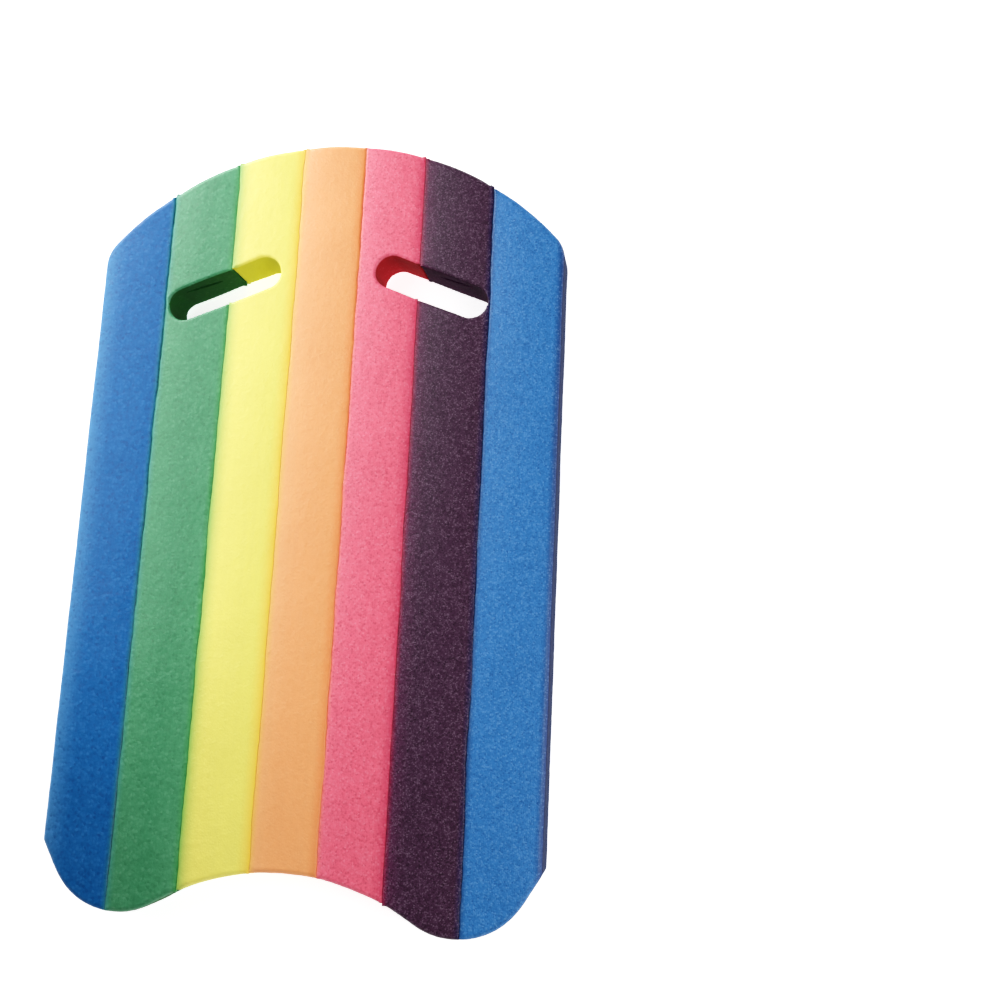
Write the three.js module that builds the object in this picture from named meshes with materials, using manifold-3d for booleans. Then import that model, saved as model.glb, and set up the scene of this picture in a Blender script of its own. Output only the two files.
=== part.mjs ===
// Kickboard float: seven extruded foam planks, heat-welded side by side and then cut to one outline.
//
// Units are millimetres. The board lies flat on its back face: +Z is up through its thickness,
// +Y points to the round nose, +X to the right. The origin is the centre of the underside.

import * as THREE from "three";
import { mergeVertices } from "three/addons/utils/BufferGeometryUtils.js";
import Module from "manifold-3d";

const wasm = await Module();
wasm.setup();

// ---- Driving dimensions ----

// The planks from left to right. A plank with a core keeps the flattened hollow of its extrusion.
const planks = [
  { name: "left_blue_plank", width: 42, colour: 0x3a78be },
  { name: "green_plank", width: 40.5, colour: 0x4da06c, core: true },
  { name: "yellow_plank", width: 41, colour: 0xf0e86c },
  { name: "orange_plank", width: 38.5, colour: 0xf4b078 },
  { name: "pink_plank", width: 37.5, colour: 0xee7090 },
  { name: "purple_plank", width: 42.5, colour: 0x4c3048, core: true },
  { name: "right_blue_plank", width: 43, colour: 0x3f86cc },
];

const boardLength = 454; // nose tip to the tips of the tail lobes
const thickness = 28;
const rimRadius = 3; // softened edge all round the outline
const seamRadius = 2; // softened long edges of each plank, which leave a groove at the weld

const noseRadius = 185;
const shoulderRadius = 20; // between the nose and the straight sides

const lobeRadius = 43.5; // the two round lobes of the tail
const lobeInset = 46.5; // side of the board to the centre of its lobe
const notchDepth = 27; // lobe tips to the top of the hollow between them
const cornerRise = 36; // lobe tips to the corner where a straight side ends

const slotWidth = 20;
const slotTilt = THREE.MathUtils.degToRad(21.5); // the inner ends lie nearer the nose
const slotFromNose = 91; // nose tip to the middle of each hand slot
const slotWeb = 1.5; // foam left between a slot's outer end and the outer seam of its plank
const slotEndMargin = 10; // slot's inner end to the next seam inwards

const coreWidth = 20; // flattened hollow along the middle of a cored plank
const coreHeight = 1.6;
const coreLift = 4.5; // above the middle of the thickness
const coreTilt = THREE.MathUtils.degToRad(10.5); // its edge nearer the board's side lies higher

const cutMargin = 10; // how far cutters and blanks run past the board

// Facets of each round shape.
const arcSegments = 28;
const edgeSegments = 3;

// ---- Derived dimensions ----

const boardWidth = planks.reduce((sum, plank) => sum + plank.width, 0);
const halfWidth = boardWidth / 2;
const noseY = boardLength / 2;
const tailY = -boardLength / 2;

// Seam positions across the board, from its left side to its right side.
const seams = [-halfWidth];
for (const plank of planks) {
  seams.push(seams[seams.length - 1] + plank.width);
}

// ---- Solids ----

/** Turns a closed three.js geometry into a solid that can be cut and joined. */
function toSolid(geometry) {
  geometry.deleteAttribute("normal");
  geometry.deleteAttribute("uv");
  const merged = mergeVertices(geometry);
  return new wasm.Manifold(
    new wasm.Mesh({
      numProp: 3,
      vertProperties: merged.attributes.position.array,
      triVerts: new Uint32Array(merged.index.array),
    }),
  );
}

/** Turns a solid back into a geometry with flat-shaded faces. */
function toGeometry(solid) {
  const mesh = solid.getMesh();
  const indexed = new THREE.BufferGeometry();
  indexed.setAttribute("position", new THREE.BufferAttribute(mesh.vertProperties, 3));
  indexed.setIndex(new THREE.BufferAttribute(mesh.triVerts, 1));
  const geometry = indexed.toNonIndexed();
  geometry.computeVertexNormals();
  return geometry;
}

/** The board's outline: round nose, straight sides and a two-lobed tail joined by smooth arcs. */
function boardOutline() {
  const noseCentreY = noseY - noseRadius;

  // The shoulder touches the nose arc from inside and the straight side.
  const shoulderX = halfWidth - shoulderRadius;
  const shoulderReach = noseRadius - shoulderRadius;
  const shoulderY = noseCentreY + Math.sqrt(shoulderReach ** 2 - shoulderX ** 2);
  const shoulderAngle = Math.atan2(shoulderY - noseCentreY, shoulderX);

  // The hollow's arc touches both lobes from outside and peaks one notch depth above their tips.
  const lobeX = halfWidth - lobeInset;
  const lobeY = tailY + lobeRadius;
  const lobeAboveNotch = lobeY - (tailY + notchDepth);
  const hollowRadius =
    (lobeX ** 2 + lobeAboveNotch ** 2 - lobeRadius ** 2) / (2 * (lobeRadius - lobeAboveNotch));
  const hollowY = tailY + notchDepth - hollowRadius;
  const hollowAngle = Math.atan2(lobeY - hollowY, lobeX);

  // A short straight runs from the side's corner and touches the lobe.
  const cornerY = tailY + cornerRise;
  const toCorner = new THREE.Vector2(halfWidth - lobeX, cornerY - lobeY);
  const touchAngle = toCorner.angle() - Math.acos(lobeRadius / toCorner.length());

  const outline = new THREE.Shape();
  outline.absarc(0, noseCentreY, noseRadius, shoulderAngle, Math.PI - shoulderAngle, false);
  outline.absarc(-shoulderX, shoulderY, shoulderRadius, Math.PI - shoulderAngle, Math.PI, false);
  outline.lineTo(-halfWidth, cornerY);
  outline.absarc(-lobeX, lobeY, lobeRadius, Math.PI - touchAngle, 2 * Math.PI - hollowAngle, false);
  outline.absarc(0, hollowY, hollowRadius, Math.PI - hollowAngle, hollowAngle, true);
  outline.absarc(lobeX, lobeY, lobeRadius, Math.PI + hollowAngle, 2 * Math.PI + touchAngle, false);
  outline.lineTo(halfWidth, cornerY);
  outline.absarc(shoulderX, shoulderY, shoulderRadius, 0, shoulderAngle, false);
  return outline;
}

/** The whole board as one slab with softened rims, before it is shared out among the planks. */
function boardBlank() {
  const geometry = new THREE.ExtrudeGeometry(boardOutline(), {
    depth: thickness - 2 * rimRadius,
    curveSegments: arcSegments,
    bevelEnabled: true,
    bevelThickness: rimRadius,
    bevelSize: rimRadius,
    bevelOffset: -rimRadius,
    bevelSegments: edgeSegments,
  });
  geometry.translate(0, 0, rimRadius);
  return toSolid(geometry);
}

/** A rectangle with round corners from (left, low) to (right, high). */
function roundedRectangle(left, right, low, high, radius) {
  const shape = new THREE.Shape();
  shape.absarc(right - radius, low + radius, radius, -Math.PI / 2, 0, false);
  shape.absarc(right - radius, high - radius, radius, 0, Math.PI / 2, false);
  shape.absarc(left + radius, high - radius, radius, Math.PI / 2, Math.PI, false);
  shape.absarc(left + radius, low + radius, radius, Math.PI, 1.5 * Math.PI, false);
  return shape;
}

/** A thin tilted lens centred at x, as a foam tube leaves when it is pressed flat. */
function flattenedCore(x) {
  const rise = coreHeight / 2;
  const half = coreWidth / 2;
  const radius = (half ** 2 + rise ** 2) / (2 * rise);
  const angle = Math.asin(half / radius);

  // Its two arcs bulge up and down along the lens's own short axis.
  const upwards = Math.PI / 2 + Math.sign(x) * coreTilt;
  const z = thickness / 2 + coreLift;
  const acrossX = (radius - rise) * Math.cos(upwards);
  const acrossZ = (radius - rise) * Math.sin(upwards);
  const downwards = upwards + Math.PI;
  const core = new THREE.Path();
  core.absarc(x - acrossX, z - acrossZ, radius, upwards - angle, upwards + angle, false);
  core.absarc(x + acrossX, z + acrossZ, radius, downwards - angle, downwards + angle, false);
  return core;
}

/** One plank as an extruded bar along Y, longer than the board, from seam to seam. */
function plankBar(index) {
  // The outermost planks run past the board, because the outline shapes their free sides.
  const left = seams[index] - (index === 0 ? cutMargin : 0);
  const right = seams[index + 1] + (index === planks.length - 1 ? cutMargin : 0);
  const section = roundedRectangle(left, right, 0, thickness, seamRadius);
  if (planks[index].core) {
    const middle = (seams[index] + seams[index + 1]) / 2;
    section.holes.push(flattenedCore(middle));
  }
  const barLength = boardLength + 2 * cutMargin;
  const geometry = new THREE.ExtrudeGeometry(section, {
    depth: barLength,
    curveSegments: edgeSegments,
    bevelEnabled: false,
  });
  geometry.rotateX(Math.PI / 2);
  geometry.translate(0, barLength / 2, 0);
  return toSolid(geometry);
}

/** The cutter for a hand slot that spans from x = outer to x = inner, mirrored by its side. */
function slotCutter(outer, inner) {
  const side = Math.sign(outer);
  const halfStraight = (Math.abs(outer - inner) - slotWidth) / Math.cos(slotTilt) / 2;
  const radius = slotWidth / 2;
  const shape = new THREE.Shape();
  shape.absarc(halfStraight, 0, radius, -Math.PI / 2, Math.PI / 2, false);
  shape.absarc(-halfStraight, 0, radius, Math.PI / 2, 1.5 * Math.PI, false);
  const geometry = new THREE.ExtrudeGeometry(shape, {
    depth: thickness + 2 * cutMargin,
    curveSegments: arcSegments,
    bevelEnabled: false,
  });
  geometry.rotateZ(-side * slotTilt);
  geometry.translate((outer + inner) / 2, noseY - slotFromNose, -cutMargin);
  return toSolid(geometry);
}

// ---- Assembly ----

// Each slot crosses the second plank from its side and ends inside the third.
const leftSlot = slotCutter(seams[1] + slotWeb, seams[3] - slotEndMargin);
const rightSlot = slotCutter(seams[6] - slotWeb, seams[4] + slotEndMargin);
const slottedBlank = boardBlank().subtract(leftSlot).subtract(rightSlot);

const kickboard = new THREE.Group();
planks.forEach((plank, index) => {
  const solid = slottedBlank.intersect(plankBar(index));
  const material = new THREE.MeshStandardMaterial({
    color: plank.colour,
    roughness: 0.9,
    metalness: 0,
  });
  const mesh = new THREE.Mesh(toGeometry(solid), material);
  mesh.name = plank.name;
  kickboard.add(mesh);
});

export default kickboard;
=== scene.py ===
"""Kickboard float: seven extruded foam planks, heat-welded side by side and cut to one outline."""

import logging
import math
from dataclasses import dataclass
from enum import Enum

import bpy
import numpy as np
from mathutils import Matrix, Vector, noise


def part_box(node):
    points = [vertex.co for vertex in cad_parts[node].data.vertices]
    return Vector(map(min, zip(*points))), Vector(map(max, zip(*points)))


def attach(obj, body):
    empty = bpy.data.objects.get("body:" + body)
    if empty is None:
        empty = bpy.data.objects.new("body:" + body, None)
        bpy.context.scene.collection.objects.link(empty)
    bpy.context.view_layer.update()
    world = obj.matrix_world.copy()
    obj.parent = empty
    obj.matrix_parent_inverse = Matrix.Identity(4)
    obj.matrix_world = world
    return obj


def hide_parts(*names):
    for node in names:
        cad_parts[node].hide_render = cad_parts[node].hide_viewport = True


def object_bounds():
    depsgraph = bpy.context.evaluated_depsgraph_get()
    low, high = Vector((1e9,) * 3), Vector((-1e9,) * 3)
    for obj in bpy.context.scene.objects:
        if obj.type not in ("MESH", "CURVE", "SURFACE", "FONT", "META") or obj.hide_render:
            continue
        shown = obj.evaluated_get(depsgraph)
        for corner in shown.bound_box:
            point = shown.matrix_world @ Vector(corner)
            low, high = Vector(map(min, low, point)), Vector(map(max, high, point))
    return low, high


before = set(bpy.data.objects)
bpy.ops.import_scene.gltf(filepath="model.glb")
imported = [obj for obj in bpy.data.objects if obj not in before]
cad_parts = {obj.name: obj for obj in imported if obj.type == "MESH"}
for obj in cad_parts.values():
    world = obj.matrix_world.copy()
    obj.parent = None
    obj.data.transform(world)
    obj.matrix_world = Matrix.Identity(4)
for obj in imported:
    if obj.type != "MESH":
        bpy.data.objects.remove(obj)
CAD_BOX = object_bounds()

LOG = logging.getLogger("kickboard")
MM = 0.001
BODY = "root"


# ---- Colour and node helpers ----


def linear(hex_colour: str) -> tuple[float, float, float, float]:
    """Turns an sRGB hex colour into linear RGBA.

    Args:
        hex_colour: Six hex digits, such as "3a7fc4".

    Returns:
        Linear red, green and blue with an alpha of one.
    """
    channels = [int(hex_colour[i:i + 2], 16) / 255 for i in (0, 2, 4)]
    curve = [c / 12.92 if c <= 0.04045 else ((c + 0.055) / 1.055) ** 2.4 for c in channels]
    return (*curve, 1.0)


def add_node(tree: bpy.types.NodeTree, kind: str,
             inputs: dict[str | int, object] | None = None,
             **settings: object) -> bpy.types.Node:
    """Adds a node with its settings, values and links.

    Args:
        tree: The node tree that gets the node.
        kind: The node's type, without its "ShaderNode".
        inputs: By name or number of an input in use: a value, an output socket, or a node,
            which stands for its first output in use.
        **settings: The node's own properties.

    Returns:
        The new node.
    """
    node = tree.nodes.new("ShaderNode" + kind)
    for name, value in settings.items():
        setattr(node, name, value)
    for key, value in (inputs or {}).items():
        entry = node.inputs[key] if isinstance(key, int) else next(
            socket for socket in node.inputs if socket.enabled and socket.name == key)
        if isinstance(value, bpy.types.Node):
            value = next(socket for socket in value.outputs if socket.enabled)
        if isinstance(value, bpy.types.NodeSocket):
            tree.links.new(value, entry)
        else:
            entry.default_value = value
    return node


# ---- Finishes ----

# A noise texture seldom leaves these bounds.
NOISE_SPAN = {"From Min": 0.2, "From Max": 0.8}


@dataclass(frozen=True)
class EdgeShadingAndTint:
    """Colour that fades inwards from a long edge of a plank: weld colour, painted highlight and
    painted shade.

    A broad pale band is painted highlight where the crowned plank turns towards the light. A deeper
    band is painted shade where it turns away, often with the next plank's hue as painted reflected
    colour. A narrow band at a weld is partly the neighbour's dye taken up in the melt and partly
    painted shade of the weld's groove.
    It reaches so far in, takes a share of the colour at the edge itself, and falls off as a power.
    """

    colour: str
    reach: float
    share: float
    fall: float = 2.0

    def dress(self, tree: bpy.types.NodeTree, away: bpy.types.Node,
              colour: bpy.types.Node) -> bpy.types.Node:
        """Lays the band over a plank's colour; the painted highlight, painted shade and weld colour
        along the edges are all laid this way.
            away: The distance from the plank's edge.
            colour: The plank's colour so far.

        Returns:
            The node whose colour takes the place of the plank's own.
        """
        near = add_node(tree, "MapRange",
                        {"Value": away, "From Max": self.reach, "To Min": 1.0, "To Max": 0.0})
        near = add_node(tree, "Math", {0: near, 1: self.fall}, operation="POWER")
        near = add_node(tree, "Math", {0: near, 1: self.share}, operation="MULTIPLY")
        return add_node(tree, "Mix", {"Factor": near, "A": colour, "B": linear(self.colour)},
                        data_type="RGBA")


@dataclass(frozen=True)
class Edge:
    """One long edge of a plank: where it is, and whether it is welded to a neighbour.

    The skin runs on round a welded edge, down to the weld itself.
    """

    place: float
    welded: bool
    skin_reach: float = 1.6 * MM

    def away(self, tree: bpy.types.NodeTree, axes: bpy.types.Node) -> bpy.types.Node:
        """Works out how far from the edge a point lies, across the board.

        Args:
            tree: The plank's node tree.
            axes: The place, by axis.

        Returns:
            The node that gives the distance.
        """
        offset = add_node(tree, "Math", {0: axes.outputs["X"], 1: self.place},
                          operation="SUBTRACT")
        return add_node(tree, "Math", {0: offset}, operation="ABSOLUTE")


@dataclass(frozen=True)
class FoamFinish:
    """Extruded closed-cell polyethylene foam in one colour.

    The skin is satin and slightly waxy, with a dense grain, because its cells lie just under the
    surface: the domed ones look paler and the open ones darker, and the paler cells are partly
    painted glints.
    Cut faces are rougher and deeper in colour, partly because light sinks into the opened cells and
    partly as painted shade, since the walls and sides face away from the lights.
    """

    name: str
    slot: str
    # The pale grain colour is partly painted glint.
    skin: str
    # The cut colour is partly the opened cells' own colour and partly painted shade on walls and
    # sides.
    cut: str
    pale: str
    deep: str
    grain: float
    # Edge bands for each side: painted highlight, painted shade and weld colour.
    left: tuple[EdgeShadingAndTint, ...]
    right: tuple[EdgeShadingAndTint, ...]
    # Foam cells are often finer than this, and are drawn as coarse as they need to be to show.
    cell: float = 1.15 * MM
    streak: float = 0.012
    gloss: float = 0.5

    # The rest is the same for every plank. Skin is found by its slope and by its distance from the
    # middle of the thickness, as shares of one and of the thickness.
    skin_slope: tuple[float, float] = (0.15, 0.6)
    skin_depth: tuple[float, float] = (0.35, 0.4)
    weld_slope: float = 0.3
    skin_roughness: float = 0.42
    cut_roughness: float = 1.0
    grain_roughness: float = 0.08
    dome_height: float = 0.12 * MM
    dome_strength: float = 0.5
    dome_fall: float = -0.8
    dome_rim: tuple[float, float] = (0.2, 0.75)
    rim_swing: float = 0.25
    glow: float = 0.1
    glow_depth: float = 3 * MM
    fine_share: float = 0.35
    fine_density: float = 1.3
    cut_grain: float = 0.3
    grain_gap: float = 0.02
    deep_share: float = 2.6
    nick_spacing: float = 17 * MM
    nick_reach: tuple[float, float] = (0.02, 0.07)
    nick_share: float = 0.5
    mottle_size: float = 4.5 * MM
    mottle_share: float = 0.16
    patch_size: float = 38 * MM
    patch_swing: float = 0.03
    streak_size: tuple[float, float, float] = (2.4 * MM, 120 * MM, 9 * MM)

    def material(self, edges: tuple[Edge, Edge], thickness: float) -> bpy.types.Material:
        """Makes the material of one plank.

        Args:
            edges: The plank's left and right edges.
            thickness: The board's thickness.

        Returns:
            The finished material.
        """
        material = bpy.data.materials.new(self.name)
        material.use_nodes = True
        tree = material.node_tree
        tree.nodes.clear()
        coordinates = add_node(tree, "TexCoord")
        place = coordinates.outputs["Object"]
        axes = add_node(tree, "SeparateXYZ", {"Vector": place})

        colour, skin = self._skin_and_cut(tree, coordinates, axes, thickness, edges)
        colour, cells, grain = self._grain(tree, place, colour, skin)
        tone = self._tone(tree, place)
        colour = add_node(tree, "VectorMath", {"Vector": colour, "Scale": tone}, operation="SCALE")

        # The domes and pits of the cells stand about a tenth of a millimetre high.
        domes = add_node(tree, "Math",
                         {0: cells.outputs["Distance"], 1: self.dome_fall, 2: grain},
                         operation="MULTIPLY_ADD")
        bump = add_node(tree, "Bump",
                        {"Height": domes, "Distance": self.dome_height,
                         "Strength": self.dome_strength})
        rough = add_node(tree, "MapRange", {"Value": skin, "To Min": self.cut_roughness,
                                            "To Max": self.skin_roughness})
        rough = add_node(tree, "Math", {0: grain, 1: self.grain_roughness, 2: rough},
                         operation="MULTIPLY_ADD")
        shader = add_node(tree, "BsdfPrincipled",
                          {"Base Color": colour, "Roughness": rough, "IOR": 1.5,
                           "Specular IOR Level": self.gloss, "Normal": bump,
                           "Subsurface Weight": self.glow,
                           "Subsurface Scale": self.glow_depth,
                           "Subsurface Radius": (1.0, 1.0, 1.0)})
        add_node(tree, "OutputMaterial", {"Surface": shader})
        return material

    def _skin_and_cut(self, tree: bpy.types.NodeTree, coordinates: bpy.types.Node,
                      axes: bpy.types.Node, thickness: float,
                      edges: tuple[Edge, Edge]) -> tuple[bpy.types.Node, bpy.types.Node]:
        """Colours the two flat faces and the welded edges as skin with edge bands of painted
        highlight, painted shade and weld colour, and the rest as cuts partly darkened as painted
        shade.

        Args:
            tree: The plank's node tree.
            coordinates: The texture coordinates.
            axes: The place, by axis.
            thickness: The board's thickness.
            edges: The plank's left and right edges.

        Returns:
            The colour, and how much of it is skin.
        """
        facing = add_node(tree, "SeparateXYZ", {"Vector": coordinates.outputs["Normal"]})
        upright = add_node(tree, "Math", {0: facing.outputs["Z"]}, operation="ABSOLUTE")
        steep, level = self.skin_slope
        upright = add_node(tree, "MapRange",
                           {"Value": upright, "From Min": steep, "From Max": level},
                           interpolation_type="SMOOTHSTEP")
        # The round edges along a weld face sideways, and a cut through a weld faces along Y.
        sideways = add_node(tree, "Math", {0: facing.outputs["Y"], 1: 0.0, 2: self.weld_slope},
                            operation="COMPARE")
        for edge in edges:
            if edge.welded:
                near = add_node(tree, "Math", {0: edge.away(tree, axes), 1: edge.skin_reach},
                                operation="LESS_THAN")
                near = add_node(tree, "Math", {0: near, 1: sideways}, operation="MULTIPLY")
                upright = add_node(tree, "Math", {0: upright, 1: near}, operation="MAXIMUM")
        height = add_node(tree, "Math", {0: axes.outputs["Z"], 1: thickness / 2},
                          operation="SUBTRACT")
        height = add_node(tree, "Math", {0: height}, operation="ABSOLUTE")
        inner, outer = self.skin_depth
        outside = add_node(tree, "MapRange", {"Value": height, "From Min": inner * thickness,
                                              "From Max": outer * thickness})
        skin = add_node(tree, "Math", {0: upright, 1: outside}, operation="MULTIPLY")
        colour = add_node(tree, "RGB")
        colour.outputs["Color"].default_value = linear(self.skin)
        # Edge bands: painted highlight and painted shade across the crowned plank, weld colour, and
        # painted shade in the weld's groove.
        for edge, shading_and_tint_bands in zip(edges, (self.left, self.right)):
            away = edge.away(tree, axes)
            for shading_and_tint_band in shading_and_tint_bands:
                colour = shading_and_tint_band.dress(tree, away, colour)
        # Faces that are not skin take the cut colour: partly the opened cells' own colour, partly
        # painted shade on walls that face away from the lights.
        colour = add_node(tree, "Mix", {"Factor": skin, "A": linear(self.cut), "B": colour},
                          data_type="RGBA")
        return colour, skin

    def _grain(self, tree: bpy.types.NodeTree, place: bpy.types.NodeSocket,
               colour: bpy.types.Node, skin: bpy.types.Node) -> tuple[bpy.types.Node, ...]:
        """Sprinkles paler and deeper cells over a colour, the paler partly painted glints, and a
        few nicks from use.

        Args:
            tree: The plank's node tree.
            place: Where on the plank, in metres.
            colour: The plain colour.
            skin: How much of the surface is skin, where the grain is strongest.

        Returns:
            The speckled colour, the cells, and the grain from -1, deep, to 1, pale.
        """
        cells = add_node(tree, "TexVoronoi", {"Vector": place, "Scale": 1 / self.cell})
        chance = add_node(tree, "SeparateColor", {"Color": cells.outputs["Color"]})
        top, rim = self.dome_rim
        dome = add_node(tree, "MapRange",
                        {"Value": cells.outputs["Distance"], "From Min": top, "From Max": rim,
                         "To Min": 1.0, "To Max": self.rim_swing},
                        interpolation_type="SMOOTHSTEP")
        swing = add_node(tree, "MapRange", {"Value": chance.outputs["Red"], "To Min": -1.0})
        swing = add_node(tree, "Math", {0: swing, 1: dome}, operation="MULTIPLY")
        fine = add_node(tree, "TexNoise",
                        {"Vector": place, "Scale": self.fine_density / self.cell, "Detail": 2.0})
        fine = add_node(tree, "MapRange",
                        {"Value": fine, **NOISE_SPAN, "To Min": -1.0, "To Max": 1.0})
        grain = add_node(tree, "Mix", {"Factor": self.fine_share, "A": swing, "B": fine})
        strength = add_node(tree, "MapRange", {"Value": skin, "To Min": self.cut_grain})
        grain = add_node(tree, "Math", {0: grain, 1: strength}, operation="MULTIPLY")
        # Paler cells: grain, and partly painted glints of light off the cell walls.
        pale = add_node(tree, "MapRange",
                        {"Value": grain, "From Min": self.grain_gap, "To Max": self.grain})
        deep = add_node(tree, "MapRange",
                        {"Value": grain, "From Min": -1.0, "From Max": -self.grain_gap,
                         "To Min": self.deep_share * self.grain, "To Max": 0.0})

        spread = add_node(tree, "TexVoronoi", {"Vector": place, "Scale": 1 / self.nick_spacing})
        heart, edge = self.nick_reach
        nicks = add_node(tree, "MapRange",
                         {"Value": spread.outputs["Distance"], "From Min": heart,
                          "From Max": edge, "To Min": self.nick_share * self.grain,
                          "To Max": 0.0})
        for share, laid_on in ((pale, self.pale), (deep, self.deep), (nicks, self.cut)):
            colour = add_node(tree, "Mix", {"Factor": share, "A": colour, "B": linear(laid_on)},
                              data_type="RGBA")
        return colour, cells, grain

    def _tone(self, tree: bpy.types.NodeTree, place: bpy.types.NodeSocket) -> bpy.types.Node:
        """Varies the tone in soft patches and in lines drawn out by the extrusion die.

        Args:
            tree: The plank's node tree.
            place: Where on the plank, in metres.

        Returns:
            The factor for the colour, about one.
        """
        drawn = add_node(tree, "Mapping",
                         {"Vector": place, "Scale": [1 / size for size in self.streak_size]})
        tone = None
        for source, scale, detail, swing in (
                (place, 1 / self.mottle_size, 3.0, self.mottle_share * self.grain),
                (place, 1 / self.patch_size, 2.0, self.patch_swing),
                (drawn, 1.0, 2.0, self.streak)):
            layer = add_node(tree, "TexNoise",
                             {"Vector": source, "Scale": scale, "Detail": detail})
            layer = add_node(tree, "MapRange", {"Value": layer, **NOISE_SPAN,
                                                "To Min": 1 - swing, "To Max": 1 + swing})
            tone = layer if tone is None else add_node(tree, "Math", {0: tone, 1: layer},
                                                       operation="MULTIPLY")
        return tone


# The planks from left to right. A broad pale band along an edge is painted highlight where the
# crowned plank turns towards the light. A deeper band is painted shade where it turns away, as at
# the right blue plank's free side, often with the next plank's hue as painted reflected colour. A
# narrow band at a weld is partly the neighbour's dye taken up in the melt and partly painted shade
# of the weld's groove.
FINISHES = {
    # Each cut colour is partly the foam's own colour and partly painted shade of the walls and
    # sides.
    "left_blue_plank": FoamFinish(
        "extruded closed-cell PE foam, deep blue", "blue_foam", skin="1061a0", cut="061a44",
        pale="60a4e4", deep="06306c", grain=0.20, cell=1.9 * MM, gloss=0.3,
        left=(EdgeShadingAndTint("90ccf4", 17 * MM, 0.27, 1.8),),
        right=(EdgeShadingAndTint("3c8870", 4 * MM, 0.62), EdgeShadingAndTint("1c4c54", 0.8 * MM, 0.35, 1.0))),
    "green_plank": FoamFinish(
        "extruded closed-cell PE foam, green", "green_foam", skin="438a61", cut="0f5019",
        pale="98d4b0", deep="1c5c34", grain=0.17, cell=1.9 * MM,
        left=(EdgeShadingAndTint("50936b", 20 * MM, 0.4, 1.0), EdgeShadingAndTint("3c90a8", 5 * MM, 0.4)),
        right=(EdgeShadingAndTint("5ca075", 18 * MM, 0.5, 1.0), EdgeShadingAndTint("44963c", 4 * MM, 0.6, 1.4),
               EdgeShadingAndTint("28882c", 0.8 * MM, 0.4, 1.0))),
    "yellow_plank": FoamFinish(
        "extruded closed-cell PE foam, yellow", "yellow_foam", skin="f4e974", cut="d0cb44",
        pale="fcf8b0", deep="d4c848", grain=0.05, cell=1.3 * MM, streak=0.018,
        left=(EdgeShadingAndTint("60b054", 12 * MM, 0.88, 2.6),),
        right=(EdgeShadingAndTint("ffb428", 8 * MM, 0.6, 1.6),)),
    "orange_plank": FoamFinish(
        "extruded closed-cell PE foam, orange", "orange_foam", skin="f6a66e", cut="d8742c",
        pale="fcd0a0", deep="dc8444", grain=0.09, cell=1.3 * MM, streak=0.016,
        left=(EdgeShadingAndTint("fcdca8", 16 * MM, 0.14), EdgeShadingAndTint("f4bc48", 4.5 * MM, 0.75)),
        right=(EdgeShadingAndTint("ec8044", 6.5 * MM, 0.7, 1.4),)),
    "pink_plank": FoamFinish(
        "extruded closed-cell PE foam, pink", "pink_foam", skin="ec687e", cut="a8121e",
        pale="fcb0c0", deep="b42c48", grain=0.28, cell=1.25 * MM,
        left=(EdgeShadingAndTint("fcb8b8", 12 * MM, 0.08), EdgeShadingAndTint("f48868", 3 * MM, 0.6)),
        right=(EdgeShadingAndTint("b81c4c", 8 * MM, 0.66, 1.6), EdgeShadingAndTint("70102c", 0.8 * MM, 0.5, 1.0))),
    "purple_plank": FoamFinish(
        "extruded closed-cell PE foam, plum", "purple_foam", skin="44283f", cut="381434",
        pale="a890a4", deep="08040a", grain=0.40, cell=0.85 * MM, gloss=0.3,
        left=(EdgeShadingAndTint("843462", 13 * MM, 0.34), EdgeShadingAndTint("981840", 3.5 * MM, 0.8)),
        right=(EdgeShadingAndTint("101c50", 4 * MM, 0.85, 1.5),)),
    "right_blue_plank": FoamFinish(
        "extruded closed-cell PE foam, bright blue", "blue_foam", skin="3675b3", cut="061a44",
        pale="9cccf8", deep="103c78", grain=0.26, cell=1.05 * MM, gloss=0.4,
        left=(EdgeShadingAndTint("14305c", 4 * MM, 0.85),),
        right=(EdgeShadingAndTint("0c2868", 5 * MM, 0.95, 1.2),)),
}
PLANKS = list(FINISHES)


# ---- Shapes ----


def arc(centre: tuple[float, float], radius: float, start: float, end: float,
        steps: int) -> np.ndarray:
    """Points along an arc.

    Args:
        centre: The arc's centre.
        radius: Its radius.
        start: The angle of its first point, in radians.
        end: The angle of its last point.
        steps: How many steps there are between them.

    Returns:
        One row for each point.
    """
    angles = np.linspace(start, end, steps + 1)
    return np.column_stack([centre[0] + radius * np.cos(angles),
                            centre[1] + radius * np.sin(angles)])


def turned(points: np.ndarray, angle: float) -> np.ndarray:
    """Turns points in a plane about its origin.

    Args:
        points: One row for each point.
        angle: The angle, anticlockwise and in radians.

    Returns:
        The turned points, in the same rows.
    """
    cosine, sine = math.cos(angle), math.sin(angle)
    return points @ np.array([[cosine, sine], [-sine, cosine]])


def quarter_round(radius: float, steps: int) -> list[tuple[float, float]]:
    """Rounds the edge between a flat face and a wall.

    Args:
        radius: The round's radius.
        steps: How many steps it has.

    Returns:
        For each point from the face to the wall: its distance from the wall and from the face.
    """
    angles = [k / steps * math.pi / 2 for k in range(steps + 1)]
    return [(radius * (1 - math.sin(angle)), radius * (1 - math.cos(angle))) for angle in angles]


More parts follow.
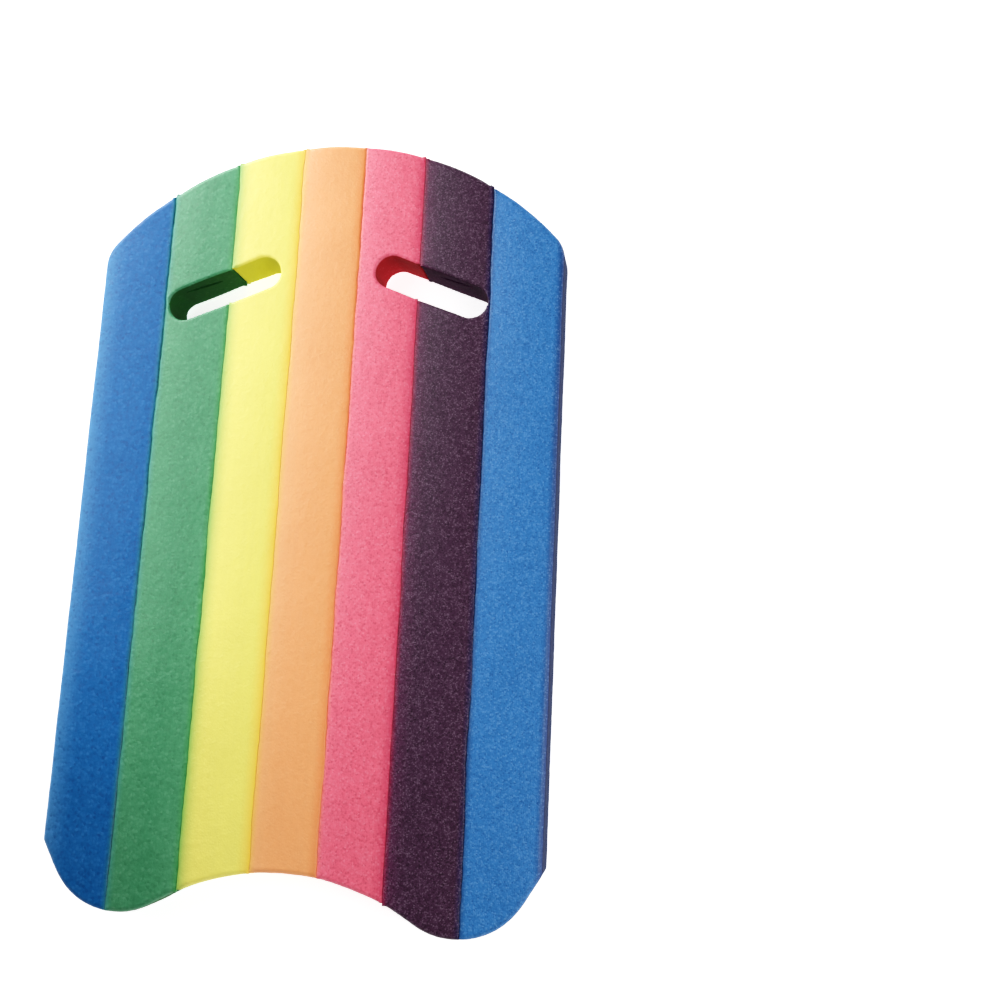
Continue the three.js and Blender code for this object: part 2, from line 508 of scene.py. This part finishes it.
def loft(name: str, rings: list[np.ndarray]) -> bpy.types.Object:
    """Makes a closed solid through rings of equal length.

    Args:
        name: The new object's name.
        rings: Rings of 3-D points from one end to the other, anticlockwise seen from the last.

    Returns:
        The object, linked to the scene.
    """
    count = len(rings[0])
    faces = []
    for level in range(len(rings) - 1):
        for k in range(count):
            after = (k + 1) % count
            faces.append((level * count + k, level * count + after,
                          (level + 1) * count + after, (level + 1) * count + k))
    faces.append(tuple(range(count))[::-1])
    faces.append(tuple(range((len(rings) - 1) * count, len(rings) * count)))
    mesh = bpy.data.meshes.new(name)
    mesh.from_pydata(np.vstack(rings).tolist(), [], faces)
    made = bpy.data.objects.new(name, mesh)
    bpy.context.scene.collection.objects.link(made)
    return made


def bake(piece: bpy.types.Object) -> None:
    """Applies a piece's modifiers and leaves the result in its mesh.

    Args:
        piece: The piece, which gets a new mesh in place of its old one.
    """
    old = piece.data
    graph = bpy.context.evaluated_depsgraph_get()
    result = bpy.data.meshes.new_from_object(piece.evaluated_get(graph))
    piece.modifiers.clear()
    piece.data = result
    bpy.data.meshes.remove(old)


def with_boolean(piece: bpy.types.Object, tool: bpy.types.Object, operation: str) -> None:
    """Cuts a piece with a tool, or keeps what they share.

    Args:
        piece: The piece, whose mesh is replaced by the result.
        tool: A closed solid, which stays as it is.
        operation: "DIFFERENCE" to cut, or "INTERSECT" to keep what they share.
    """
    modifier = piece.modifiers.new(operation, "BOOLEAN")
    modifier.operation = operation
    modifier.object = tool
    modifier.solver = "EXACT"
    bake(piece)


def discard(*pieces: bpy.types.Object) -> None:
    """Removes helper objects and their meshes."""
    for piece in pieces:
        bpy.data.meshes.remove(piece.data)


@dataclass(frozen=True)
class BoardOutline:
    """The board's outline: a round nose, straight sides and a tail of two lobes."""

    width: float
    length: float
    nose_radius: float = 185 * MM
    shoulder_radius: float = 20 * MM
    lobe_radius: float = 43.5 * MM
    lobe_inset: float = 46.5 * MM
    notch_depth: float = 27 * MM
    corner_rise: float = 36 * MM
    nose_steps: int = 96
    shoulder_steps: int = 8
    lobe_steps: int = 40
    hollow_steps: int = 60

    def ring(self, inset: float) -> np.ndarray:
        """The outline moved inwards.

        Args:
            inset: How far in, in metres.

        Returns:
            Points in anticlockwise order, the same number for every inset.
        """
        side = self.width / 2
        nose_y = self.length / 2 - self.nose_radius
        shoulder_x = side - self.shoulder_radius
        reach = self.nose_radius - self.shoulder_radius
        shoulder_y = nose_y + math.sqrt(reach ** 2 - shoulder_x ** 2)
        shoulder_angle = math.atan2(shoulder_y - nose_y, shoulder_x)

        tail = -self.length / 2
        lobe = np.array([side - self.lobe_inset, tail + self.lobe_radius])
        above = lobe[1] - (tail + self.notch_depth)
        hollow_radius = ((lobe[0] ** 2 + above ** 2 - self.lobe_radius ** 2)
                         / (2 * (self.lobe_radius - above)))
        hollow_y = tail + self.notch_depth - hollow_radius
        hollow_angle = math.atan2(lobe[1] - hollow_y, lobe[0])

        to_corner = np.array([side, tail + self.corner_rise]) - lobe
        touch = (math.atan2(to_corner[1], to_corner[0])
                 - math.acos(self.lobe_radius / np.hypot(*to_corner)))
        outwards = np.array([math.cos(touch), math.sin(touch)])
        along = np.array([-outwards[1], outwards[0]])
        foot = lobe + (self.lobe_radius - inset) * outwards
        corner = foot + along * (side - inset - foot[0]) / along[0]

        right = np.vstack([
            arc((0, hollow_y), hollow_radius + inset, math.pi / 2, hollow_angle,
                self.hollow_steps // 2)[:-1],
            arc(tuple(lobe), self.lobe_radius - inset, math.pi + hollow_angle,
                2 * math.pi + touch, self.lobe_steps),
            [corner],
            arc((shoulder_x, shoulder_y), self.shoulder_radius - inset, 0, shoulder_angle,
                self.shoulder_steps)[:-1],
            arc((0, nose_y), self.nose_radius - inset, shoulder_angle, math.pi / 2,
                self.nose_steps // 2),
        ])
        left = right[-2:0:-1] * [-1, 1]
        return np.vstack([right, left])


class Side(Enum):
    """Which half of the board a hand slot lies in."""

    LEFT = -1
    RIGHT = 1


@dataclass(frozen=True)
class HandSlot:
    """A slanted hand slot cut right through the board, with softened rims."""

    side: Side
    outer: float
    inner: float
    middle_y: float
    thickness: float
    width: float = 20 * MM
    tilt: float = math.radians(21.5)
    rim: float = 0.8 * MM
    hollow: float = 0.35 * MM
    past: float = 4 * MM
    end_steps: int = 24
    rim_steps: int = 5
    wall_steps: int = 8

    def ring(self, grow: float, height: float) -> np.ndarray:
        """One level of the cutter.

        Args:
            grow: How much wider than the slot it is all round.
            height: Its height above the underside.

        Returns:
            Points in anticlockwise order.
        """
        half = (abs(self.outer - self.inner) - self.width) / math.cos(self.tilt) / 2
        radius = self.width / 2 + grow
        flat = np.vstack([
            arc((half, 0), radius, -math.pi / 2, math.pi / 2, self.end_steps),
            arc((-half, 0), radius, math.pi / 2, 1.5 * math.pi, self.end_steps),
        ])
        placed = (turned(flat, -self.side.value * self.tilt)
                  + [(self.outer + self.inner) / 2, self.middle_y])
        return np.column_stack([placed, np.full(len(placed), height)])

    def cutter(self) -> bpy.types.Object:
        """Makes the solid that cuts the slot.

        Returns:
            The cutter, flared at both rims and slightly full between them.
        """
        low = [(self.rim + self.past / 2, -self.past), *quarter_round(self.rim, self.rim_steps)]
        high = [(grow, self.thickness - height) for grow, height in reversed(low)]
        walls = []
        for k in range(1, self.wall_steps):
            share = k / self.wall_steps
            walls.append((self.hollow * math.sin(share * math.pi),
                          self.rim + share * (self.thickness - 2 * self.rim)))
        return loft("slot cutter", [self.ring(*level) for level in low + walls + high])


@dataclass(frozen=True)
class Plank:
    """One foam plank, from the seam on its left to the seam on its right."""

    index: int
    node: str
    left: float
    right: float
    thickness: float
    has_core: bool
    seam_radius: float = 1.4 * MM
    weld_clearance: float = 0.04 * MM
    crown: float = 1.0 * MM
    core_width: float = 21.5 * MM
    core_height: float = 2.8 * MM
    core_lift: float = 4.5 * MM
    core_tilt: float = math.radians(10.5)
    sharp_angle: float = math.radians(60)
    past: float = 8 * MM
    corner_steps: int = 6
    core_steps: int = 32
    smooth_steps: int = 3
    voxel: float = 1.0 * MM

    @property
    def is_first(self) -> bool:
        """True for the plank whose left side is the board's side."""
        return self.index == 0

    @property
    def is_last(self) -> bool:
        """True for the plank whose right side is the board's side."""
        return self.index == len(PLANKS) - 1

    def bar(self, length: float) -> bpy.types.Object:
        """Makes the whole extruded bar that the outline is cut from.

        Args:
            length: The board's length.

        Returns:
            The bar.
        """
        left = self.left - self.past if self.is_first else self.left + self.weld_clearance
        right = self.right + self.past if self.is_last else self.right - self.weld_clearance
        r = self.seam_radius
        section = np.vstack([
            arc((right - r, r), r, -math.pi / 2, 0, self.corner_steps),
            arc((right - r, self.thickness - r), r, 0, math.pi / 2, self.corner_steps),
            arc((left + r, self.thickness - r), r, math.pi / 2, math.pi, self.corner_steps),
            arc((left + r, r), r, math.pi, 1.5 * math.pi, self.corner_steps),
        ])
        return self._prism("bar", section, length / 2 + self.past)

    def _core_section(self) -> np.ndarray:
        """Draws the flattened hollow of the extrusion.

        Returns:
            The outline of a thin slit in X and Z, higher towards the board's side.
        """
        middle = (self.left + self.right) / 2
        rise = self.core_height / 2
        reach = self.core_width / 2
        tilt = math.copysign(self.core_tilt, middle)
        angles = np.linspace(0, 2 * math.pi, self.core_steps, endpoint=False)
        level = np.column_stack([reach * np.cos(angles), rise * np.sin(angles)])
        return turned(level, tilt) + [middle, self.thickness / 2 + self.core_lift]

    @staticmethod
    def _prism(name: str, section: np.ndarray, reach: float) -> bpy.types.Object:
        """Extrudes a section along Y.

        Args:
            name: The new object's name.
            section: Points in X and Z.
            reach: How far it runs on either side of the board's middle.

        Returns:
            The closed solid.
        """
        rings = [np.column_stack([section[:, 0], np.full(len(section), y), section[:, 1]])
                 for y in (reach, -reach)]
        return loft(name, rings)

    def build(self, blank: bpy.types.Object, length: float,
              surface: "FoamSurface") -> bpy.types.Object:
        """Cuts the plank out of the slotted blank and gives it its foam surface.

        Args:
            blank: The whole board with its slots.
            length: The board's length.
            surface: How the foam's surface moves away from the plain shape.

        Returns:
            The finished plank.
        """
        piece = self.bar(length)
        with_boolean(piece, blank, "INTERSECT")
        remesh = piece.modifiers.new("even mesh", "REMESH")
        remesh.mode = "VOXEL"
        remesh.voxel_size = self.voxel
        smooth = piece.modifiers.new("soft edges", "SMOOTH")
        smooth.factor = 0.5
        smooth.iterations = self.smooth_steps
        bake(piece)
        surface.shape(piece.data, self)
        if self.has_core:
            core = self._prism("core", self._core_section(), length / 2 + self.past)
            with_boolean(piece, core, "DIFFERENCE")
            discard(core)
        mesh = piece.data
        mesh.shade_smooth()
        mesh.set_sharp_from_angle(angle=self.sharp_angle)
        piece.name = f"{self.node}_foam"
        mesh.name = piece.name
        return piece


@dataclass(frozen=True)
class FoamSurface:
    """How a foam plank departs from its plain shape: crown, wandering welds and fine unevenness."""

    wander: float = 0.3 * MM
    shortest_wave: float = 7 * MM
    longest_wave: float = 160 * MM
    waves: int = 14
    wave_growth: float = 0.45
    broad: float = 0.22 * MM
    broad_size: float = 26 * MM
    fine: float = 0.10 * MM
    fine_size: float = 3.2 * MM
    seed: int = 7
    edge_radius: float = 2.0 * MM
    edge_reach: float = 1.34
    still_reach: float = 0.5 * MM

    def seam_shift(self, seam: int, y: np.ndarray) -> np.ndarray:
        """How far a weld line wanders sideways.

        Args:
            seam: The seam's number from the left, 0 and 7 being the board's free sides.
            y: Places along the board.

        Returns:
            The sideways shift at each place.
        """
        if seam in (0, len(PLANKS)):
            return np.zeros_like(y)
        draw = np.random.default_rng(self.seed + seam)
        lengths = np.geomspace(self.shortest_wave, self.longest_wave, self.waves)
        lengths *= draw.uniform(0.8, 1.2, self.waves)
        starts = draw.uniform(0, 2 * math.pi, self.waves)
        heights = lengths ** self.wave_growth
        waves = np.sin(2 * math.pi * y[:, None] / lengths + starts)
        return waves @ heights * self.wander / np.sqrt((heights ** 2).sum())

    def shape(self, mesh: bpy.types.Mesh, plank: Plank) -> None:
        """Moves the plank's vertices.

        Args:
            mesh: The plank's mesh, in place.
            plank: The plank that it belongs to.
        """
        count = len(mesh.vertices)
        places = np.empty(count * 3, np.float32)
        normals = np.empty(count * 3, np.float32)
        mesh.vertices.foreach_get("co", places)
        mesh.vertex_normals.foreach_get("vector", normals)
        places = places.reshape(-1, 3).astype(float)
        normals = normals.reshape(-1, 3).astype(float)

        self._square_seams(places, plank)

        # Faces at a weld take no unevenness, so that both sides follow one line.
        near_left = (places[:, 0] < plank.left + self.still_reach) & (not plank.is_first)
        near_right = (places[:, 0] > plank.right - self.still_reach) & (not plank.is_last)
        free = np.where(near_left | near_right, 0.0, 1.0)
        uneven = np.fromiter(
            (self.broad * noise.noise(Vector(p) / self.broad_size)
             + self.fine * noise.noise(Vector(p) / self.fine_size) for p in places),
            float, count)
        places += normals * (uneven * free)[:, None]

        # Each plank is thickest along its middle.
        u = np.clip((places[:, 0] - plank.left) / (plank.right - plank.left), 0, 1)
        fall = plank.crown * (2 * u - 1) ** 2
        middle = plank.thickness / 2
        places[:, 2] = middle + (places[:, 2] - middle) * (1 - fall / middle)

        places[:, 0] += (self.seam_shift(plank.index, places[:, 1]) * (1 - u)
                         + self.seam_shift(plank.index + 1, places[:, 1]) * u)
        mesh.vertices.foreach_set("co", places.astype(np.float32).ravel())
        mesh.update()

    def _square_seams(self, places: np.ndarray, plank: Plank) -> None:
        """Squares up the plank's long welded edges, which the remesh has rounded.

        Args:
            places: The plank's vertices, in place.
            plank: The plank.
        """
        r = self.edge_radius
        for wall, inwards, welded in ((plank.left, 1, not plank.is_first),
                                      (plank.right, -1, not plank.is_last)):
            if not welded:
                continue
            for face, up in ((plank.thickness, -1), (0.0, 1)):
                x = (places[:, 0] - wall) * inwards - r
                z = (places[:, 2] - face) * up - r
                corner = (x < 0) & (z < 0)
                x, z = x[corner], z[corner]
                reach = np.hypot(x, z)
                square = r * np.minimum(reach / np.maximum(-x, -z), self.edge_reach)
                grow = np.maximum(square / reach, 1.0)
                places[corner, 0] = wall + (x * grow + r) * inwards
                places[corner, 2] = face + (z * grow + r) * up


@dataclass(frozen=True)
class Kickboard:
    """The whole board: its outline, its two hand slots and its seven planks."""

    cored: tuple[str, ...] = ("green_plank", "purple_plank")
    slot_from_nose: float = 91 * MM
    # Two of these four are 0.8 mm wider than the CAD's, because the flared rims eat into them.
    left_slot_web: float = 2.3 * MM
    right_slot_web: float = 1.5 * MM
    left_slot_margin: float = 10 * MM
    right_slot_margin: float = 10.8 * MM
    rim: float = 2.4 * MM
    rim_steps: int = 6

    def seams(self) -> list[float]:
        """Seam places across the board, from its left side to its right side."""
        return [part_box(PLANKS[0])[0].x] + [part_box(node)[1].x for node in PLANKS]

    def blank(self, outline: BoardOutline, thickness: float) -> bpy.types.Object:
        """Makes the whole slab with soft rims.

        Args:
            outline: The board's outline.
            thickness: Its thickness.

        Returns:
            The slab, lying on the ground plane.
        """
        low = quarter_round(self.rim, self.rim_steps)
        high = [(inset, thickness - height) for inset, height in reversed(low)]
        rings = []
        for inset, height in low + high:
            flat = outline.ring(inset)
            rings.append(np.column_stack([flat, np.full(len(flat), height)]))
        return loft("blank", rings)

    def build(self) -> list[bpy.types.Object]:
        """Makes every plank.

        Returns:
            The planks from left to right.
        """
        low, high = CAD_BOX
        seams = self.seams()
        length = high.y - low.y
        thickness = high.z - low.z
        slot_y = high.y - self.slot_from_nose
        slots = [
            HandSlot(Side.LEFT, seams[1] + self.left_slot_web, seams[3] - self.left_slot_margin,
                     slot_y, thickness),
            HandSlot(Side.RIGHT, seams[6] - self.right_slot_web, seams[4] + self.right_slot_margin,
                     slot_y, thickness),
        ]
        blank = self.blank(BoardOutline(high.x - low.x, length), thickness)
        for slot in slots:
            cutter = slot.cutter()
            with_boolean(blank, cutter, "DIFFERENCE")
            discard(cutter)

        surface = FoamSurface()
        pieces = []
        for index, node in enumerate(PLANKS):
            plank = Plank(index, node, seams[index], seams[index + 1], thickness,
                          node in self.cored)
            piece = plank.build(blank, length, surface)
            self._dress(piece, plank)
            pieces.append(piece)
            LOG.info("%s: %d faces", piece.name, len(piece.data.polygons))
        discard(blank)
        return pieces

    def _dress(self, piece: bpy.types.Object, plank: Plank) -> None:
        """Gives a plank its finish and ties it to its CAD node.

        Args:
            piece: The plank's visible piece.
            plank: The plank that it shows.
        """
        finish = FINISHES[plank.node]
        edges = (Edge(plank.left, not plank.is_first), Edge(plank.right, not plank.is_last))
        piece.data.materials.clear()
        piece.data.materials.append(finish.material(edges, plank.thickness))
        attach(piece, BODY)
        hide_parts(plank.node)


# ---- Studio ----


@dataclass(frozen=True)
class Softbox:
    """A square soft light aimed at a point on the board."""

    name: str
    place: tuple[float, float, float]
    aim: tuple[float, float, float]
    size: float
    power: float

    def build(self) -> None:
        """Adds the light."""
        lamp = bpy.data.lights.new(self.name, "AREA")
        lamp.size = self.size
        lamp.energy = self.power
        holder = bpy.data.objects.new(self.name, lamp)
        holder.visible_camera = False
        bpy.context.scene.collection.objects.link(holder)
        holder.location = self.place
        holder.rotation_mode = "QUATERNION"
        towards = Vector(self.aim) - Vector(self.place)
        holder.rotation_quaternion = towards.to_track_quat("-Z", "Y")


@dataclass(frozen=True)
class Card:
    """A card on edge, which keeps some light off one corner of the board."""

    start: tuple[float, float]
    end: tuple[float, float]
    low: float
    high: float

    def build(self) -> None:
        """Adds the card, which does nothing but cast its shadow."""
        mesh = bpy.data.meshes.new("shading card")
        mesh.from_pydata([(*self.start, self.low), (*self.end, self.low), (*self.end, self.high),
                          (*self.start, self.high)], [], [(0, 1, 2, 3)])
        card = bpy.data.objects.new("shading card", mesh)
        for ray in ("camera", "diffuse", "glossy", "transmission"):
            setattr(card, f"visible_{ray}", False)
        bpy.context.scene.collection.objects.link(card)


@dataclass(frozen=True)
class Studio:
    """A pale floor, soft lights and the camera."""

    floor_size: float = 60.0
    floor_drop: float = 0.6 * MM
    floor_glow: float = 0.7
    horizon_light: float = 1.0
    horizon_span: tuple[float, float] = (0.08, 0.35)
    zenith_light: float = 0.07
    camera_place: tuple[float, float, float] = (0.1988, -0.0881, 0.6061)
    camera_aim: tuple[float, float, float] = (0.1113, 0.0092, 0.028)
    camera_roll: float = math.radians(-2.56)
    lens: float = 38.0
    sensor: float = 36.0
    tone_points: tuple[float, ...] = (0.02, 0.05, 0.1, 0.2, 0.35, 0.5, 0.75)
    tone_contrast: float = 1.35
    tone_shoulder: float = 0.55
    softboxes: tuple[Softbox, ...] = (
        Softbox("key softbox", (-0.69, 0.91, 0.49), (0.0, 0.0, 0.0), 0.7, 8.4),
        Softbox("side softbox", (-0.45, 0.26, 0.47), (0.0, 0.0, 0.0), 0.7, 3.3),
        Softbox("fill softbox", (0.70, -0.19, 0.60), (0.0, 0.0, 0.0), 0.7, 4.0),
    )
    card: Card = Card((-0.303, -0.318), (-0.165, -0.070), 0.075, 0.282)

    def build(self) -> None:
        """Makes the floor, the lights, the world and the camera."""
        self._floor()
        for softbox in self.softboxes:
            softbox.build()
        self.card.build()
        self._world()
        self._camera()
        self._tone()

    def _tone(self) -> None:
        """Develops the picture with a soft shoulder and a little contrast, as a camera does."""
        view = bpy.context.scene.view_settings
        view.view_transform = "Standard"
        view.use_curve_mapping = True
        # The last of the four curves acts on red, green and blue together.
        curve = view.curve_mapping.curves[-1]
        for light in self.tone_points:
            curve.points.new(light, self.developed(light))
        view.curve_mapping.update()

    def developed(self, light: float) -> float:
        """Returns the brightness in the picture for a brightness in the scene, both up to 1."""
        raised = light ** self.tone_contrast
        return raised * (1 + self.tone_shoulder) / (raised + self.tone_shoulder)

    def _floor(self) -> None:
        """Lays a plain white floor of backing paper, matt and lit so that it shows as white."""
        half = self.floor_size / 2
        mesh = bpy.data.meshes.new("floor")
        mesh.from_pydata([(-half, -half, 0), (half, -half, 0), (half, half, 0), (-half, half, 0)],
                         [], [(0, 1, 2, 3)])
        floor = bpy.data.objects.new("floor", mesh)
        bpy.context.scene.collection.objects.link(floor)
        floor.location.z = -self.floor_drop
        material = bpy.data.materials.new("white backing paper")
        material.use_nodes = True
        tree = material.node_tree
        tree.nodes.clear()
        shader = add_node(tree, "BsdfPrincipled",
                          {"Base Color": linear("f6f6f6"), "Roughness": 0.9,
                           "Emission Color": linear("ffffff"),
                           "Emission Strength": self.floor_glow})
        add_node(tree, "OutputMaterial", {"Surface": shader})
        mesh.materials.append(material)

    def _world(self) -> None:
        """Adds even white light from all round, brightest at the horizon like a pale backdrop."""
        world = bpy.data.worlds.new("studio")
        world.use_nodes = True
        tree = world.node_tree
        tree.nodes.clear()
        view = add_node(tree, "TexCoord")
        axes = add_node(tree, "SeparateXYZ", {"Vector": view.outputs["Generated"]})
        low, high = self.horizon_span
        strength = add_node(tree, "MapRange",
                            {"Value": axes.outputs["Z"], "From Min": low, "From Max": high,
                             "To Min": self.horizon_light, "To Max": self.zenith_light},
                            interpolation_type="SMOOTHSTEP")
        light = add_node(tree, "Background",
                         {"Color": linear("ffffff"), "Strength": strength})
        add_node(tree, "OutputWorld", {"Surface": light})
        bpy.context.scene.world = world

    def _camera(self) -> None:
        """Places the camera, with the board's nose upwards in the picture."""
        forward = (Vector(self.camera_aim) - Vector(self.camera_place)).normalized()
        right = forward.cross(Vector((0, 1, 0))).normalized()
        up = right.cross(forward)
        turned_up = up * math.cos(self.camera_roll) + right * math.sin(self.camera_roll)
        turned_right = right * math.cos(self.camera_roll) - up * math.sin(self.camera_roll)
        data = bpy.data.cameras.new("camera")
        data.lens = self.lens
        data.sensor_width = self.sensor
        data.clip_start = 0.01
        camera = bpy.data.objects.new("camera", data)
        bpy.context.scene.collection.objects.link(camera)
        axes = Matrix((turned_right, turned_up, -forward)).transposed()
        camera.matrix_world = Matrix.Translation(self.camera_place) @ axes.to_4x4()
        bpy.context.scene.camera = camera


def main() -> None:
    """Builds the board and its studio, and logs each plank's face count and how many planks there
    are.
    """
    logging.basicConfig(level=logging.INFO, format="%(name)s: %(message)s")
    pieces = Kickboard().build()
    Studio().build()
    LOG.info("%d planks built", len(pieces))


if __name__ == "__main__":
    main()
